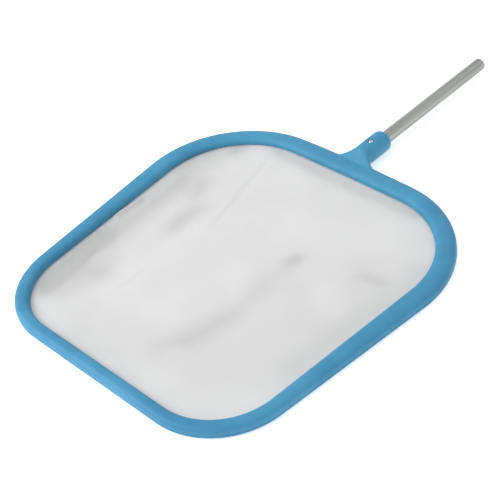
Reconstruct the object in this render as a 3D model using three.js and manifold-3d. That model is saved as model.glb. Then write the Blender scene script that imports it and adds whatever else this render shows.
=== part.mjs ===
// A flat leaf skimmer net for pools and spas: a moulded rim with a neck and a socket, a clamping ring
// that holds a fine net in it, and a tube held in the socket by a spring clip with two snap buttons.
// Millimetres, +Z up, +Y towards the tube. The skimmer lies flat on z = 0, and the origin is on that
// plane, under the middle of its overall length.

import * as THREE from 'three';
import { ConvexGeometry } from 'three/addons/geometries/ConvexGeometry.js';
import { mergeVertices } from 'three/addons/utils/BufferGeometryUtils.js';
import Module from 'manifold-3d';

// ---- driving dimensions ----

// The rim's two outlines in plan, each a trapezoid with round corners. frontHalf and rearHalf are
// half the widths where the side lines meet the front and rear lines; crown is how far the rear
// edge bows out at its middle. y counts from the rim's front edge.
const RIM_OUTER = {
  frontHalf: 182.5, rearHalf: 225, front: 0, rear: 415, frontRadius: 92, rearRadius: 125, crown: 7,
};
const RIM_INNER = {
  frontHalf: 169, rearHalf: 193.5, front: 16, rear: 395, frontRadius: 77, rearRadius: 103, crown: 2,
};
const RIM_HEIGHT = 13.5;
const EDGE_ROUND = { across: 6.5, up: 6 };   // the quarter ellipse on each long edge of the rim

const PARTING = 4.7;            // top of the clamping ring's lip
const FIT_GAP = 0.3;            // between pieces that touch
const LIP_WIDTH = 7.5;          // the ring's lip, which meets the frame outside the net
const NET_THICKNESS = 0.4;
const NET_SAG = 2.6;
const CORD_DIAMETER = 2.4;
const CORD_INSET = 9.6;         // centre of the edge cord, from the rim's outer outline
const GROOVE_WIDTH = 3.2;

const SCREW_COUNT = 12;
const SCREW_INSET = 4.8;
const SCREW_LENGTH = 8;
const SCREW_TIP = 1.2;
const SCREW_SHANK = 2.6;
const SCREW_HEAD = { diameter: 4.6, height: 1.6, rise: 0.5, play: 0.3 };   // rise: its underside's height
const SCREW_RECESS = { width: 0.7, length: 2.6, depth: 0.9 };
const SCREW_HOLE_DEPTH = 6.2;   // in the frame

const SOCKET = { diameter: 26.5, mouth: 470, edge: 4 };
const NECK = { start: 409, end: 438, halfWidth: 38, steps: 5 };
const TUBE = { diameter: 16, wall: 1.3, inner: 437, end: 662 };
const SOCKET_PLAY = 0.25;

// Heights along a button are from the tube's axis.
const BUTTON = { y: 447, diameter: 6, crown: 12, dome: 1.6, seat: 5.9, tail: 3, tailEnd: 4.5 };
const BUTTON_PLAY = { tube: 0.25, socket: 0.4 };
const FINGER_DIMPLE = { sphere: 10, depth: 2.4 };
const CLIP = { thickness: 0.6, width: 6, tip: 441, bend: 456, bow: 474, bowRadius: 2 };

const ROUND_STEPS = 24;         // sides of the socket and the tube
const SMALL_STEPS = 12;         // sides of the buttons and screws
const HOLE_STEPS = 8;           // sides of the screw holes
const BEYOND = 5;               // how far cutting bodies reach past what they cut

// ---- worked out from them ----

const AXIS_HEIGHT = SOCKET.diameter / 2;      // the socket lies on the same plane as the rim
const FRAME_BOTTOM = PARTING + FIT_GAP;
const NET_BOTTOM = FRAME_BOTTOM - FIT_GAP - NET_THICKNESS;
const RING_SEAT = NET_BOTTOM - FIT_GAP;
const ORIGIN_Y = TUBE.end / 2;

// ---- materials ----

const plastic = (color, roughness) => new THREE.MeshStandardMaterial({ color, roughness, metalness: 0 });
const metal = (color, roughness) => new THREE.MeshStandardMaterial({ color, roughness, metalness: 1 });
const framePlastic = () => plastic(0x4f9acb, 0.42);
const netFabric = () => plastic(0xe2e2e1, 0.85);
const cordFabric = () => plastic(0xd9dad8, 0.9);
const tubeMetal = () => metal(0xa9adac, 0.35);
const steel = () => metal(0xc9ccd0, 0.28);

// ---- joining and cutting ----

const wasm = await Module();
wasm.setup();

function solid(geometry, matrix = new THREE.Matrix4()) {
  const bare = geometry.clone().applyMatrix4(matrix);
  bare.deleteAttribute('normal');
  bare.deleteAttribute('uv');
  const merged = mergeVertices(bare, 1e-4);
  return new wasm.Manifold(new wasm.Mesh({
    numProp: 3,
    vertProperties: new Float32Array(merged.attributes.position.array),
    triVerts: new Uint32Array(merged.index.array),
  }));
}

function geometryOf(manifold) {
  const { vertProperties, triVerts } = manifold.getMesh();
  const geometry = new THREE.BufferGeometry();
  geometry.setAttribute('position', new THREE.BufferAttribute(new Float32Array(vertProperties), 3));
  geometry.setIndex(new THREE.BufferAttribute(new Uint32Array(triVerts), 1));
  geometry.computeVertexNormals();
  return geometry;
}

const at = (x, y, z) => new THREE.Matrix4().makeTranslation(x, y, z);

// ---- outlines in plan ----

// The same trapezoid, moved in by d on every side.
function inset(o, d) {
  const lean = (o.rearHalf - o.frontHalf) / (o.rear - o.front);
  const side = d * Math.hypot(1, lean);
  return {
    frontHalf: o.frontHalf + lean * d - side,
    rearHalf: o.rearHalf - lean * d - side,
    front: o.front + d,
    rear: o.rear - d,
    frontRadius: o.frontRadius - d,
    rearRadius: o.rearRadius - d,
    crown: o.crown,
  };
}

// Points round a trapezoid with round corners, counter-clockwise from the middle of the front edge.
function outlinePoints(o) {
  const lean = Math.atan2(o.rearHalf - o.frontHalf, o.rear - o.front);
  const half = [];
  const arc = (x, y, r, from, to, steps) => {
    for (let i = 0; i <= steps; i++) {
      const angle = from + (to - from) * i / steps;
      half.push([x + r * Math.cos(angle), y + r * Math.sin(angle)]);
    }
  };
  const frontX = o.frontHalf - o.frontRadius * (1 - Math.sin(lean)) / Math.cos(lean);
  const rearX = o.rearHalf - o.rearRadius * (1 + Math.sin(lean)) / Math.cos(lean);
  arc(frontX, o.front + o.frontRadius, o.frontRadius, -Math.PI / 2, -lean, 8);
  arc(rearX, o.rear - o.rearRadius, o.rearRadius, -lean, Math.PI / 2, 10);
  half.push([rearX * 2 / 3, o.rear], [rearX / 3, o.rear]);

  // The rear half bows out towards +Y, most at its middle.
  const middle = (o.front + o.rear) / 2;
  const bowed = half.map(([x, y]) => {
    const rearward = Math.max(0, (y - middle) / (o.rear - middle));
    return [x, y + o.crown * rearward ** 2 * Math.cos(x / o.rearHalf * Math.PI / 2) ** 2];
  });
  const mirrored = bowed.map(([x, y]) => [-x, y]).reverse();
  const all = [[0, o.front], ...bowed, [0, o.rear + o.crown], ...mirrored];
  return all.map(([x, y]) => new THREE.Vector2(x, y));
}

// Points at equal distances along a closed outline, the first one half a step past its start.
function evenlyAlong(points, count) {
  const closed = [...points, points[0]];
  const lengths = closed.slice(1).map((p, i) => p.distanceTo(closed[i]));
  const total = lengths.reduce((a, b) => a + b, 0);
  return Array.from({ length: count }, (_, k) => {
    let rest = (k + 0.5) * total / count;
    let i = 0;
    while (rest > lengths[i]) rest -= lengths[i++];
    return closed[i].clone().lerp(closed[i + 1], rest / lengths[i]);
  });
}

// ---- rings that follow the rim ----

// A flat-sided ring between two outlines, from z = low to z = high.
function flatRing(outer, inner, low, high) {
  const shape = new THREE.Shape(outlinePoints(outer));
  shape.holes.push(new THREE.Path(outlinePoints(inner).reverse()));
  return solid(new THREE.ExtrudeGeometry(shape, { depth: high - low, bevelEnabled: false }), at(0, 0, low));
}

// The same with its four long edges rounded by quarter ellipses.
function roundRing(outer, inner, low, high, across, up, steps) {
  const shape = new THREE.Shape(outlinePoints(outer));
  shape.holes.push(new THREE.Path(outlinePoints(inner).reverse()));
  const geometry = new THREE.ExtrudeGeometry(shape, {
    depth: high - low - 2 * up,
    bevelThickness: up,
    bevelSize: across,
    bevelOffset: -across,
    bevelSegments: steps,
  });
  return solid(geometry, at(0, 0, low + up));
}

const rimSection = () =>
  roundRing(RIM_OUTER, RIM_INNER, 0, RIM_HEIGHT, EDGE_ROUND.across, EDGE_ROUND.up, 4);

const screwPlaces = evenlyAlong(outlinePoints(inset(RIM_OUTER, SCREW_INSET)), SCREW_COUNT);

function upright(diameter, low, high, x, y, steps = SMALL_STEPS) {
  const geometry = new THREE.CylinderGeometry(diameter / 2, diameter / 2, high - low, steps);
  geometry.rotateX(Math.PI / 2);
  return solid(geometry, at(x, y, (low + high) / 2));
}

// ---- upper frame: rim, neck and socket ----

// A round bar along Y, with its edge at the far end chamfered.
function barAlongY(diameter, from, to, edge = 0, steps = ROUND_STEPS) {
  const r = diameter / 2;
  const profile = [[0, from], [r, from], [r, to - edge], [r - edge, to], [0, to]];
  const points = edge ? profile : profile.filter((_, i) => i !== 2);
  const geometry = new THREE.LatheGeometry(points.map(([x, y]) => new THREE.Vector2(x, y)), steps);
  return solid(geometry, at(0, 0, AXIS_HEIGHT));
}

// The neck rises from a low wide ellipse inside the rim to the round socket, and narrows on the way
// in a concave curve. Its underside stays on z = 0.
function neck() {
  const r = SOCKET.diameter / 2;
  const section = (t) => {
    const halfWidth = r + (NECK.halfWidth - r) * (1 - t) ** 2;
    const halfHeight = (RIM_HEIGHT + (SOCKET.diameter - RIM_HEIGHT) * t * t * (3 - 2 * t)) / 2;
    const y = NECK.start + (NECK.end - NECK.start) * t;
    return Array.from({ length: ROUND_STEPS }, (_, i) => {
      const angle = 2 * Math.PI * i / ROUND_STEPS;
      return new THREE.Vector3(halfWidth * Math.cos(angle), y, halfHeight * (1 + Math.sin(angle)));
    });
  };
  let body = null;
  for (let i = 0; i < NECK.steps; i++) {
    const stretch = solid(new ConvexGeometry([...section(i / NECK.steps), ...section((i + 1) / NECK.steps)]));
    body = body ? body.add(stretch) : stretch;
  }
  return body;
}

function upperFrame() {
  const ringSpace = flatRing(inset(RIM_OUTER, -FIT_GAP), inset(RIM_INNER, FIT_GAP), -BEYOND, FRAME_BOTTOM);
  const opening = new THREE.Shape(outlinePoints(RIM_INNER));
  const openingDepth = SOCKET.diameter + 2 * BEYOND;
  const insideRim = solid(
    new THREE.ExtrudeGeometry(opening, { depth: openingDepth, bevelEnabled: false }),
    at(0, 0, -BEYOND),
  );
  const groove = flatRing(
    inset(RIM_OUTER, CORD_INSET - GROOVE_WIDTH / 2),
    inset(RIM_OUTER, CORD_INSET + GROOVE_WIDTH / 2),
    FRAME_BOTTOM - BEYOND,
    FRAME_BOTTOM + GROOVE_WIDTH,
  );
  let frame = rimSection()
    .add(neck())
    .add(barAlongY(SOCKET.diameter, NECK.end - 1, SOCKET.mouth, SOCKET.edge))
    .subtract(ringSpace)
    .subtract(insideRim)
    .subtract(groove)
    .subtract(barAlongY(TUBE.diameter + 2 * SOCKET_PLAY, TUBE.inner - FIT_GAP, SOCKET.mouth + BEYOND));
  for (const { x, y } of screwPlaces) {
    frame = frame.subtract(
      upright(SCREW_SHANK + 2 * FIT_GAP, PARTING, FRAME_BOTTOM + SCREW_HOLE_DEPTH, x, y, HOLE_STEPS));
  }
  const holeRadius = BUTTON.diameter / 2 + BUTTON_PLAY.socket;
  for (const side of [-1, 1]) {
    const hole = new THREE.CylinderGeometry(holeRadius, holeRadius, SOCKET.diameter, SMALL_STEPS);
    hole.rotateX(Math.PI / 2);
    const dimple = new THREE.SphereGeometry(FINGER_DIMPLE.sphere, 20, 14);
    const dimpleHeight = side * (SOCKET.diameter / 2 + FINGER_DIMPLE.sphere - FINGER_DIMPLE.depth);
    frame = frame
      .subtract(solid(hole, at(0, BUTTON.y, AXIS_HEIGHT + side * SOCKET.diameter / 2)))
      .subtract(solid(dimple, at(0, BUTTON.y, AXIS_HEIGHT + dimpleHeight)));
  }
  return geometryOf(frame);
}

// ---- clamping ring ----

function clampingRing() {
  const inward = inset(RIM_INNER, BEYOND);
  const aboveLip = flatRing(inset(RIM_OUTER, -BEYOND), inward, PARTING, RIM_HEIGHT + BEYOND);
  const netSeat = flatRing(inset(RIM_OUTER, LIP_WIDTH), inward, RING_SEAT, RIM_HEIGHT);
  const headPocket = SCREW_HEAD.rise + SCREW_HEAD.height + SCREW_HEAD.play;
  let ring = rimSection().subtract(aboveLip).subtract(netSeat);
  for (const { x, y } of screwPlaces) {
    ring = ring
      .subtract(upright(SCREW_SHANK + 2 * FIT_GAP, -BEYOND, PARTING + BEYOND, x, y, HOLE_STEPS))
      .subtract(upright(SCREW_HEAD.diameter + 2 * FIT_GAP, -BEYOND, headPocket, x, y));
  }
  return geometryOf(ring);
}

// ---- net and its edge cord ----

// A thin sheet that dips towards its middle: the outline repeated at smaller scales, above and below.
function net() {
  const rings = [1, 0.9, 0.7, 0.45, 0.2];
  const outline = outlinePoints(inset(RIM_OUTER, LIP_WIDTH + FIT_GAP));
  const middle = new THREE.Vector2(0, (RIM_OUTER.front + RIM_OUTER.rear) / 2);
  const flatUntil = 0.9;
  const dip = (scale) => -NET_SAG * Math.max(0, 1 - (scale / flatUntil) ** 2);
  const count = outline.length;
  const positions = [];
  for (const base of [NET_BOTTOM, NET_BOTTOM + NET_THICKNESS]) {
    for (const scale of rings) {
      for (const p of outline) {
        const q = middle.clone().lerp(p, scale);
        positions.push(q.x, q.y, base + dip(scale));
      }
    }
    positions.push(middle.x, middle.y, base + dip(0));
  }
  const layer = rings.length * count + 1;
  const triangles = [];
  const quad = (a, b, c, d) => triangles.push(a, b, c, a, c, d);
  for (let i = 0; i < count; i++) {
    const next = (i + 1) % count;
    for (let k = 0; k + 1 < rings.length; k++) {
      const [a, b] = [k * count + i, k * count + next];
      const [c, d] = [b + count, a + count];
      quad(a, d, c, b);
      quad(a + layer, b + layer, c + layer, d + layer);
    }
    const last = (rings.length - 1) * count;
    triangles.push(last + i, layer - 1, last + next);
    triangles.push(last + i + layer, last + next + layer, 2 * layer - 1);
    quad(i, next, next + layer, i + layer);
  }
  const geometry = new THREE.BufferGeometry();
  geometry.setAttribute('position', new THREE.Float32BufferAttribute(positions, 3));
  geometry.setIndex(triangles);
  geometry.computeVertexNormals();
  return geometry;
}

function edgeCord() {
  const r = CORD_DIAMETER / 2;
  const low = FRAME_BOTTOM + FIT_GAP;
  const corner = r * 0.99;      // just short of the middle, where the two sides would meet
  const outer = inset(RIM_OUTER, CORD_INSET - r);
  const inner = inset(RIM_OUTER, CORD_INSET + r);
  return geometryOf(roundRing(outer, inner, low, low + CORD_DIAMETER, corner, corner, 2));
}

// ---- screws ----

// A pan-head screw standing on its head, its shank up, with a cross recess in the head's underside.
function screw() {
  const { diameter, height } = SCREW_HEAD;
  const [head, shank] = [diameter / 2, SCREW_SHANK / 2];
  const profile = [
    [0, 0], [head * 0.6, 0], [head, height * 0.5], [head, height], [shank, height],
    [shank, SCREW_LENGTH], [0, SCREW_LENGTH + SCREW_TIP],
  ];
  const geometry = new THREE.LatheGeometry(profile.map(([x, y]) => new THREE.Vector2(x, y)), SMALL_STEPS);
  geometry.rotateX(Math.PI / 2);
  let body = solid(geometry);
  const { width, length, depth } = SCREW_RECESS;
  for (const [x, y] of [[width, length], [length, width]]) {
    body = body.subtract(solid(new THREE.BoxGeometry(x, y, 2 * depth)));
  }
  return geometryOf(body);
}

// ---- tube ----

function tube() {
  const outer = barAlongY(TUBE.diameter, TUBE.inner, TUBE.end);
  const bore = barAlongY(TUBE.diameter - 2 * TUBE.wall, TUBE.inner - BEYOND, TUBE.end + BEYOND);
  const holeDiameter = BUTTON.diameter + 2 * BUTTON_PLAY.tube;
  const holes = upright(holeDiameter, -BEYOND, SOCKET.diameter + BEYOND, 0, BUTTON.y);
  return geometryOf(outer.subtract(bore).subtract(holes));
}

// ---- spring clip and snap buttons ----

function clip() {
  const legRadius = BUTTON.seat - FIT_GAP - CLIP.thickness / 2;
  // Half the clip's centre line, from a leg's tip to the bow, as [y, distance from the tube's axis].
  const upperSide = [[CLIP.tip, legRadius], [CLIP.bend, legRadius]];
  for (let i = 0; i <= 4; i++) {
    const angle = Math.PI / 2 * (1 - i / 4);
    upperSide.push([CLIP.bow + CLIP.bowRadius * Math.cos(angle), CLIP.bowRadius * Math.sin(angle)]);
  }
  const line = [...upperSide, ...upperSide.slice(0, -1).map(([y, r]) => [y, -r]).reverse()]
    .map(([y, r]) => new THREE.Vector2(y, r));
  const sideOf = (sign) => line.map((p, i) => {
    const before = line[Math.max(i - 1, 0)];
    const after = line[Math.min(i + 1, line.length - 1)];
    const along = after.clone().sub(before).normalize();
    const offset = sign * CLIP.thickness / 2;
    return new THREE.Vector2(p.x - along.y * offset, p.y + along.x * offset);
  });
  const shape = new THREE.Shape([...sideOf(1), ...sideOf(-1).reverse()]);
  const strip = new THREE.ExtrudeGeometry(shape, { depth: CLIP.width, bevelEnabled: false });
  strip.translate(0, 0, -CLIP.width / 2);
  const turn = new THREE.Matrix4().makeBasis(
    new THREE.Vector3(0, 1, 0), new THREE.Vector3(0, 0, 1), new THREE.Vector3(1, 0, 0));
  const placed = solid(strip, at(0, 0, AXIS_HEIGHT).multiply(turn));
  const holes = upright(BUTTON.tail + 2 * FIT_GAP, 0, SOCKET.diameter, 0, BUTTON.y);
  return geometryOf(placed.subtract(holes));
}

// A snap button along its own +Z.
function button() {
  const r = BUTTON.diameter / 2;
  const straightEnd = BUTTON.crown - BUTTON.dome;
  const profile = [[0, BUTTON.tailEnd], [BUTTON.tail / 2, BUTTON.tailEnd], [BUTTON.tail / 2, BUTTON.seat],
    [r, BUTTON.seat], [r, straightEnd]];
  for (let i = 1; i <= 4; i++) {
    const angle = Math.PI / 2 * i / 4;
    profile.push([i < 4 ? r * Math.cos(angle) : 0, straightEnd + BUTTON.dome * Math.sin(angle)]);
  }
  const geometry = new THREE.LatheGeometry(profile.map(([x, y]) => new THREE.Vector2(x, y)), SMALL_STEPS);
  geometry.rotateX(Math.PI / 2);
  return geometryOf(solid(geometry));
}

// ---- assembly ----

const skimmer = new THREE.Group();
skimmer.position.y = -ORIGIN_Y;

function place(name, geometry, material, x = 0, y = 0, z = 0) {
  const mesh = new THREE.Mesh(geometry, material);
  mesh.name = name;
  mesh.position.set(x, y, z);
  skimmer.add(mesh);
  return mesh;
}

place('upper_frame', upperFrame(), framePlastic());
place('clamping_ring', clampingRing(), framePlastic());
place('net', net(), netFabric());
place('net_edge_cord', edgeCord(), cordFabric());
place('pole_tube', tube(), tubeMetal());
place('spring_clip', clip(), steel());
place('snap_button_top', button(), steel(), 0, BUTTON.y, AXIS_HEIGHT);
place('snap_button_bottom', button(), steel(), 0, BUTTON.y, AXIS_HEIGHT).rotation.y = Math.PI;
screwPlaces.forEach(({ x, y }, i) => {
  place(`ring_screw_${String(i + 1).padStart(2, '0')}`, screw(), steel(), x, y, SCREW_HEAD.rise);
});

export default skimmer;
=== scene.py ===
"""A flat leaf skimmer net for pools and spas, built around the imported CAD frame.

Shapes are worked out in millimetres, with y counted from the rim's front edge, and go into the
shared frame in metres through piece(). +Y points towards the tube. The stage and the camera are
placed in metres.
"""

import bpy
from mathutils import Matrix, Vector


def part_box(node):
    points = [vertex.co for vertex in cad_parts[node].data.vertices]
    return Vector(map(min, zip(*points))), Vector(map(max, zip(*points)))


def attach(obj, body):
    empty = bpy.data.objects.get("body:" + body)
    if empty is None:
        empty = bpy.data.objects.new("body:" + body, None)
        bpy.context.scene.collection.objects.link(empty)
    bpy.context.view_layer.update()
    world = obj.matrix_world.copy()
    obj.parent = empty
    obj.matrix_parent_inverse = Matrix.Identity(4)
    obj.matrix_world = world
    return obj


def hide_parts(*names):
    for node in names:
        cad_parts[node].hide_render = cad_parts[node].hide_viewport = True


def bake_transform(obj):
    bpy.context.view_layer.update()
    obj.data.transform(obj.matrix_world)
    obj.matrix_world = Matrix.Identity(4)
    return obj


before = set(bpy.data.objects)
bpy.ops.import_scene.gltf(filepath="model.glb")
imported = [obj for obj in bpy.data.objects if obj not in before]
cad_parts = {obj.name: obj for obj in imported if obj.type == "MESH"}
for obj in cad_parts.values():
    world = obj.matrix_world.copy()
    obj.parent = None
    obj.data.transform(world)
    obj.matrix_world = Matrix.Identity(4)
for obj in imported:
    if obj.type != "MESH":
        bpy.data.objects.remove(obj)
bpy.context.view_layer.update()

import math
from collections import namedtuple

import bmesh
import bpy
import numpy as np
from mathutils import Matrix, Vector, noise

MM = 0.001
TAU = 2 * math.pi

# ---- driving dimensions, in millimetres ----

Outline = namedtuple("Outline", "front_half rear_half front rear front_radius rear_radius crown")

# Two trapezoids with round corners. The halves are half widths where the side lines meet the front
# and rear lines, and crown is how far the rear edge bows out.
RIM_OUTER = Outline(182.5, 225, 0, 415, 92, 125, 7)
RIM_INNER = Outline(169, 193.5, 16, 395, 77, 103, 2)

FRONT_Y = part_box("upper_frame")[0].y  # the rim's front edge, in metres


def node_box(node):
    """A CAD node's lowest and highest corner in millimetres, with y from the rim's front edge."""
    low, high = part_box(node)
    shift = Vector((0, FRONT_Y, 0))
    return (low - shift) / MM, (high - shift) / MM


FRAME_HIGH = node_box("upper_frame")[1]
SOCKET_MOUTH = FRAME_HIGH.y
SOCKET_RADIUS = FRAME_HIGH.z / 2
AXIS_HEIGHT = SOCKET_RADIUS
TUBE_LOW, TUBE_HIGH = node_box("pole_tube")
TUBE_RADIUS = (TUBE_HIGH.x - TUBE_LOW.x) / 2
TUBE_WALL = 1.3
TUBE_GAP = 0.25  # all round it in the socket's bore
BORE_RADIUS = TUBE_RADIUS + TUBE_GAP
BUTTON_LOW, BUTTON_HIGH = node_box("snap_button_top")
BUTTON_Y = (BUTTON_LOW.y + BUTTON_HIGH.y) / 2
BUTTON_RADIUS = (BUTTON_HIGH.y - BUTTON_LOW.y) / 2
NET_THICKNESS = 0.4
NET_LEVEL = node_box("net")[1].z - NET_THICKNESS / 2  # its middle, where it is clamped
RING_TOP = node_box("clamping_ring")[1].z

RIM_TOP = 13.5
PARTING_GAP = 0.2  # the seam between the frame and the ring
FRAME_BOTTOM = RING_TOP + PARTING_GAP
EDGE_ROUND = 0.45  # on both sides of the parting line
CORD_INSET = 9.6
CORD_RADIUS = 1.2
GROOVE_HALF = 1.9
GROOVE_TOP = FRAME_BOTTOM + 2 * GROOVE_HALF
LIP_WIDTH = 7.5
NET_INSET = 7.8
SCREW_COUNT = 12
CUT_LOW = -5  # cutters reach from below to above the whole part
CUT_HIGH = 2 * SOCKET_RADIUS + 5
SAMPLE_WIDTH = 20  # any rim width, to count a section's rows with

# Stations on an outline where its straights meet its arcs; unbowed() says more.
FRONT_ARC = 1
REAR_ARC_END = 4
REAR_MIDDLE = 5.0


# ---- small helpers ----


def mix(a, b, t):
    return a + (b - a) * t


def smooth(t):
    t = min(max(t, 0.0), 1.0)
    return t * t * (3 - 2 * t)


def quarter_turn(steps):
    """The (cosine, sine) of each step over a quarter turn, without the start."""
    angles = [math.pi / 2 * i / steps for i in range(1, steps + 1)]
    return [(math.cos(angle), math.sin(angle)) for angle in angles]


def placed(name, data, place=(0, 0, 0), aim=None, roll=0):
    """An object in the scene, turned to look at aim, with a roll in degrees."""
    obj = bpy.data.objects.new(name, data)
    obj.location = place
    if aim:
        look = (Vector(aim) - obj.location).to_track_quat("-Z", "Y").to_matrix().to_4x4()
        obj.rotation_euler = (look @ Matrix.Rotation(math.radians(roll), 4, "Z")).to_euler()
    bpy.context.scene.collection.objects.link(obj)
    return obj


def piece(name, points, faces, material):
    """A mesh object from millimetre points, set in the shared frame."""
    mesh = bpy.data.meshes.new(name)
    co = np.array(points, float) * MM
    co[:, 1] += FRONT_Y
    mesh.from_pydata(co.tolist(), [], faces)
    mesh.validate()
    mesh.update()
    mesh.polygons.foreach_set("use_smooth", [True] * len(mesh.polygons))
    obj = placed(name, mesh)
    if material:
        obj.data.materials.append(material)
    return obj


def apply_modifier(obj, kind, **settings):
    """Adds a modifier, and leaves its result as obj's own mesh."""
    modifier = obj.modifiers.new(kind.lower(), kind)
    for key, value in settings.items():
        setattr(modifier, key, value)
    bpy.context.view_layer.update()
    result = bpy.data.meshes.new_from_object(obj.evaluated_get(bpy.context.evaluated_depsgraph_get()))
    obj.modifiers.clear()
    old = obj.data
    obj.data = result
    result.name = old.name
    bpy.data.meshes.remove(old)
    return obj


def cut(obj, cutters):
    """Takes the closed meshes in cutters out of obj, then removes them."""
    for cutter in cutters:
        apply_modifier(obj, "BOOLEAN", operation="DIFFERENCE", object=cutter, solver="EXACT")
        bpy.data.objects.remove(cutter)
    return obj


def shade_by_angle(obj, degrees):
    """Smooth shading with edges sharper than the angle kept crisp."""
    mesh = obj.data
    mesh.polygons.foreach_set("use_smooth", [True] * len(mesh.polygons))
    mesh.set_sharp_from_angle(angle=math.radians(degrees))
    return obj


def lathe(profile, steps, closed=False):
    """Points and faces of a profile of (radius, height) turned round Z. Radius 0 closes an end, and
    a closed profile ends where it starts."""
    points = []
    rows = []
    turns = [TAU * i / steps for i in range(steps)]
    for radius, height in profile:
        if radius == 0:
            rows.append([len(points)])
            points.append((0, 0, height))
            continue
        rows.append(list(range(len(points), len(points) + steps)))
        points += [(radius * math.cos(a), radius * math.sin(a), height) for a in turns]
    faces = []
    for low, high in zip(rows, rows[1:] + rows[:1] if closed else rows[1:]):
        for i in range(steps):
            j = (i + 1) % steps
            if len(low) == 1:
                faces.append((low[0], high[j], high[i]))
            elif len(high) == 1:
                faces.append((low[i], low[j], high[0]))
            else:
                faces.append((low[i], low[j], high[j], high[i]))
    return points, faces


def cylinder(radius, low, high):
    """The profile to turn for a closed cylinder."""
    return [(0, low), (radius, low), (radius, high), (0, high)]


def moved(points, matrix):
    return [tuple(matrix @ Vector(p)) for p in points]


# ---- outlines ----


def inset(o, d):
    """The same trapezoid, moved in by d on every side."""
    lean = (o.rear_half - o.front_half) / (o.rear - o.front)
    side = d * math.hypot(1, lean)
    front_half, rear_half = o.front_half + lean * d - side, o.rear_half - lean * d - side
    radii = (o.front_radius - d, o.rear_radius - d)
    return Outline(front_half, rear_half, o.front + d, o.rear - d, *radii, o.crown)


def unbowed(o, u):
    """The point at station u on the right half, before the rear bows out. 0 is the middle of the
    front edge and REAR_MIDDLE the middle of the rear edge; each whole number between is where a
    straight stretch meets an arc."""
    lean = math.atan2(o.rear_half - o.front_half, o.rear - o.front)
    front_x = o.front_half - o.front_radius * (1 - math.sin(lean)) / math.cos(lean)
    rear_x = o.rear_half - o.rear_radius * (1 + math.sin(lean)) / math.cos(lean)

    def on_arc(centre_x, centre_y, radius, angle):
        return centre_x + radius * math.cos(angle), centre_y + radius * math.sin(angle)

    front_arc = (front_x, o.front + o.front_radius, o.front_radius)
    rear_arc = (rear_x, o.rear - o.rear_radius, o.rear_radius)
    stretch = min(int(u), REAR_ARC_END)
    t = u - stretch
    if stretch == 0:
        return front_x * t, o.front
    if stretch == 1:
        return on_arc(*front_arc, mix(-math.pi / 2, -lean, t))
    if stretch == 2:
        start = on_arc(*front_arc, -lean)
        end = on_arc(*rear_arc, -lean)
        return mix(start[0], end[0], t), mix(start[1], end[1], t)
    if stretch == 3:
        return on_arc(*rear_arc, mix(-lean, math.pi / 2, t))
    return rear_x * (1 - t), o.rear


def bowed(o, x, y):
    """Moves a point with the rear half's bow, which is greatest in the middle of the rear edge."""
    middle = (o.front + o.rear) / 2
    rearward = max(0, (y - middle) / (o.rear - middle))
    return Vector((x, y + o.crown * rearward ** 2 * math.cos(x / o.rear_half * math.pi / 2) ** 2))


def half_outline(o, u):
    return bowed(o, *unbowed(o, u))


def rim_points(u, side):
    """The outer and inner outline's points at station u, on the right (1) or the left (-1)."""
    outer = half_outline(RIM_OUTER, u)
    inner = half_outline(RIM_INNER, u)
    return Vector((outer.x * side, outer.y)), Vector((inner.x * side, inner.y))


def station_list(counts):
    """Stations (u, side) all the way round, counter-clockwise from the front's middle."""
    half = [k + i / n for k, n in enumerate(counts) for i in range(n)] + [REAR_MIDDLE]
    return [(u, 1) for u in half] + [(u, -1) for u in reversed(half[1:-1])]


def across(outer, inner, distance):
    """The point this far from the outer outline on the way to the inner one."""
    return outer + (inner - outer).normalized() * distance


# ---- materials ----


class Nodes:
    """A short way to write a node tree."""

    def __init__(self, name):
        self.material = bpy.data.materials.new(name)
        self.material.use_nodes = True
        self.tree = self.material.node_tree
        self.shader = self.tree.nodes["Principled BSDF"]
        self.output = self.tree.nodes["Material Output"]
        self.coords = self.tree.nodes.new("ShaderNodeTexCoord").outputs["Object"]

    def link(self, source, target):
        self.tree.links.new(source, target)

    def add(self, kind, inputs=(), **settings):
        node = self.tree.nodes.new("ShaderNode" + kind)
        for key, value in settings.items():
            setattr(node, key, value)
        for key, value in dict(inputs).items():
            if isinstance(value, bpy.types.NodeSocket):
                self.link(value, node.inputs[key])
            else:
                node.inputs[key].default_value = value
        return node

    def scaled(self, scale, rotation=(0, 0, 0)):
        inputs = {"Vector": self.coords, "Scale": scale, "Rotation": rotation}
        return self.add("Mapping", inputs).outputs[0]

    def noise(self, scale, detail=4, roughness=0.5, vector=None):
        inputs = {"Vector": vector or self.coords, "Scale": scale}
        inputs.update({"Detail": detail, "Roughness": roughness})
        return self.add("TexNoise", inputs).outputs["Fac"]

    def ramp(self, value, low, high, to_low=0.0, to_high=1.0):
        """A smooth step from to_low at low to to_high at high."""
        inputs = {"Value": value, 1: low, 2: high, 3: to_low, 4: to_high}
        return self.add("MapRange", inputs, interpolation_type="SMOOTHSTEP").outputs[0]

    def maths(self, operation, a, b=0.0, c=0.0):
        return self.add("Math", {0: a, 1: b, 2: c}, operation=operation).outputs[0]

    def blend(self, factor, a, b, mode="MIX"):
        node = self.add("Mix", {0: factor, 6: a, 7: b}, data_type="RGBA", blend_type=mode)
        return node.outputs[2]

    def bump(self, height, strength, distance, normal=None):
        inputs = {"Height": height, "Strength": strength, "Distance": distance}
        if normal:
            inputs["Normal"] = normal
        return self.add("Bump", inputs).outputs[0]

    def set(self, **values):
        """Sets the shader's sockets: links a socket, and writes a plain value on the shader itself."""
        for key, value in values.items():
            socket = self.shader.inputs[key.replace("_", " ").title().replace("Ior", "IOR")]
            if isinstance(value, bpy.types.NodeSocket):
                self.link(value, socket)
            else:
                socket.default_value = value


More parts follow.
